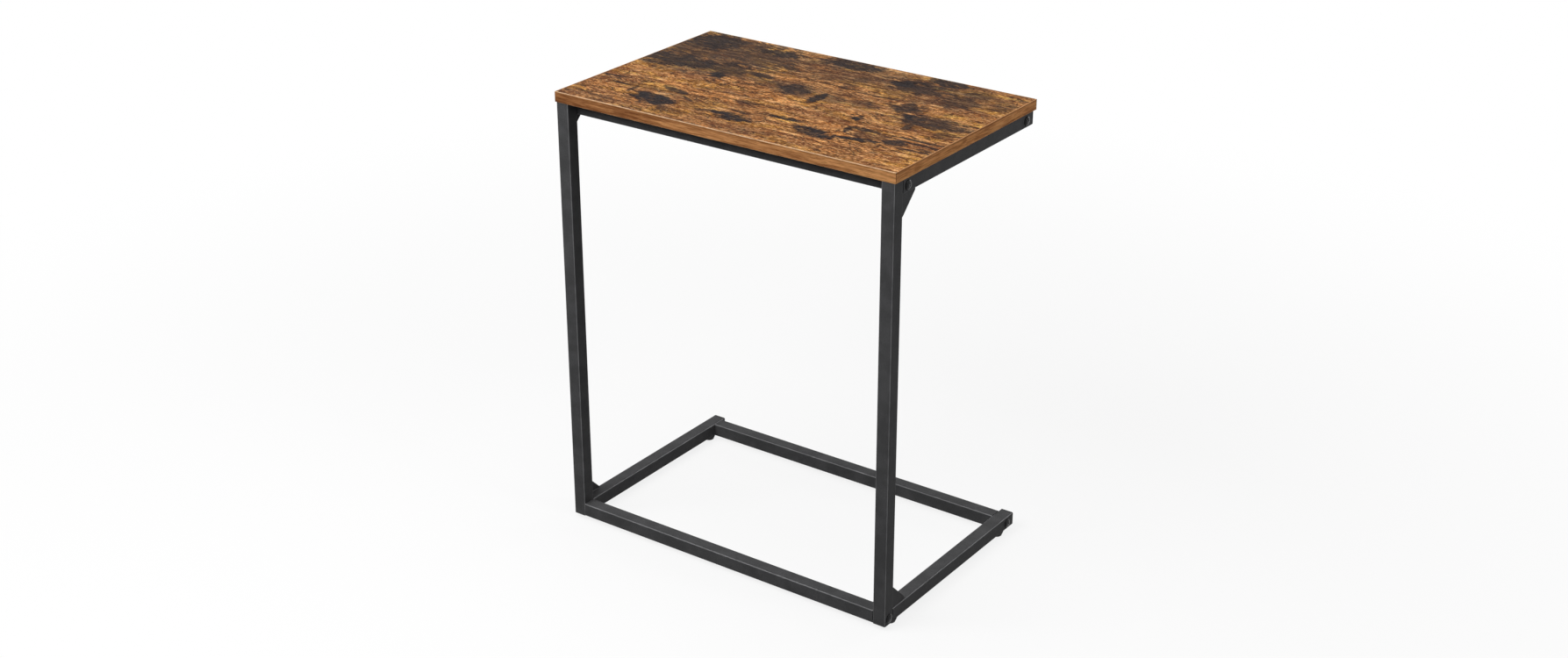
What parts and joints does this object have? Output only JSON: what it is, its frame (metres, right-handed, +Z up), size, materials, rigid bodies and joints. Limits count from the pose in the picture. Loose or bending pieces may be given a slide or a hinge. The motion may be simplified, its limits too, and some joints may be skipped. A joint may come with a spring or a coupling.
{
  "type": "side table",
  "caption": "C-shaped side table: a wood-look board on a black square-tube frame, open at one long side so that its base slides under a sofa or bed, on screw-in feet.",
  "frame": {"origin": "on the floor, under the middle of the table's bounding box", "axes": "+X along the long side, +Y from the legs to the open side, +Z up"},
  "size_m": [0.553, 0.35, 0.66],
  "materials": {
    "plank_board": "satin rustic brown planks",
    "edge_strip": "satin wood-look edging",
    "black_frame": "matte powder coat",
    "black_plastic": "moulded matte",
    "black_fasteners": "black oxide",
    "plain_steel": "zinc plated"
  },
  "bodies": {
    "frame": {"tabletop_board": "plank_board", "front_edge_band": "edge_strip", "rear_edge_band": "edge_strip", "left_edge_band": "edge_strip", "right_edge_band": "edge_strip", "left_leg": "black_frame", "left_upper_arm": "black_frame", "left_lower_arm": "black_frame", "left_upper_gusset": "black_frame", "left_lower_gusset": "black_frame", "right_leg": "black_frame", "right_upper_arm": "black_frame", "right_lower_arm": "black_frame", "right_upper_gusset": "black_frame", "right_lower_gusset": "black_frame", "front_upper_rail": "black_frame", "rear_upper_rail": "black_frame", "front_lower_rail": "black_frame", "rear_lower_rail": "black_frame", "left_upper_cap": "black_plastic", "left_lower_cap": "black_plastic", "left_leg_plug": "black_plastic", "right_upper_cap": "black_plastic", "right_lower_cap": "black_plastic", "right_leg_plug": "black_plastic", "frame_bolts": "black_fasteners", "rail_plugs": "plain_steel", "foot_nuts": "plain_steel"},
    "front_left_pad": {"front_left_foot_pad": "black_plastic"},
    "front_left_stud": {"front_left_foot_stud": "plain_steel"},
    "front_right_pad": {"front_right_foot_pad": "black_plastic"},
    "front_right_stud": {"front_right_foot_stud": "plain_steel"},
    "rear_left_pad": {"rear_left_foot_pad": "black_plastic"},
    "rear_left_stud": {"rear_left_foot_stud": "plain_steel"},
    "rear_right_pad": {"rear_right_foot_pad": "black_plastic"},
    "rear_right_stud": {"rear_right_foot_stud": "plain_steel"}
  },
  "joints": [
    {"name": "front_left_foot_slide", "type": "slide", "parent": "frame", "child": "front_left_pad", "axis": [0, 0, -1], "range_m": [0, 0.006]},
    {"name": "front_left_stud_turn", "type": "hinge", "parent": "front_left_pad", "child": "front_left_stud", "pos_m": [-0.2635, -0.1465, 0.007], "axis": [0, 0, -1], "range_deg": [0, 2160]},
    {"name": "front_right_foot_slide", "type": "slide", "parent": "frame", "child": "front_right_pad", "axis": [0, 0, -1], "range_m": [0, 0.006]},
    {"name": "front_right_stud_turn", "type": "hinge", "parent": "front_right_pad", "child": "front_right_stud", "pos_m": [0.2635, -0.1465, 0.007], "axis": [0, 0, -1], "range_deg": [0, 2160]},
    {"name": "rear_left_foot_slide", "type": "slide", "parent": "frame", "child": "rear_left_pad", "axis": [0, 0, -1], "range_m": [0, 0.006]},
    {"name": "rear_left_stud_turn", "type": "hinge", "parent": "rear_left_pad", "child": "rear_left_stud", "pos_m": [-0.2635, 0.1405, 0.007], "axis": [0, 0, -1], "range_deg": [0, 2160]},
    {"name": "rear_right_foot_slide", "type": "slide", "parent": "frame", "child": "rear_right_pad", "axis": [0, 0, -1], "range_m": [0, 0.006]},
    {"name": "rear_right_stud_turn", "type": "hinge", "parent": "rear_right_pad", "child": "rear_right_stud", "pos_m": [0.2635, 0.1405, 0.007], "axis": [0, 0, -1], "range_deg": [0, 2160]}
  ],
  "couplings": [
    {"joint": "front_left_stud_turn", "follows": "front_left_foot_slide", "rad_per_m": 6283.2},
    {"joint": "front_right_stud_turn", "follows": "front_right_foot_slide", "rad_per_m": 6283.2},
    {"joint": "rear_left_stud_turn", "follows": "rear_left_foot_slide", "rad_per_m": 6283.2},
    {"joint": "rear_right_stud_turn", "follows": "rear_right_foot_slide", "rad_per_m": 6283.2}
  ]
}
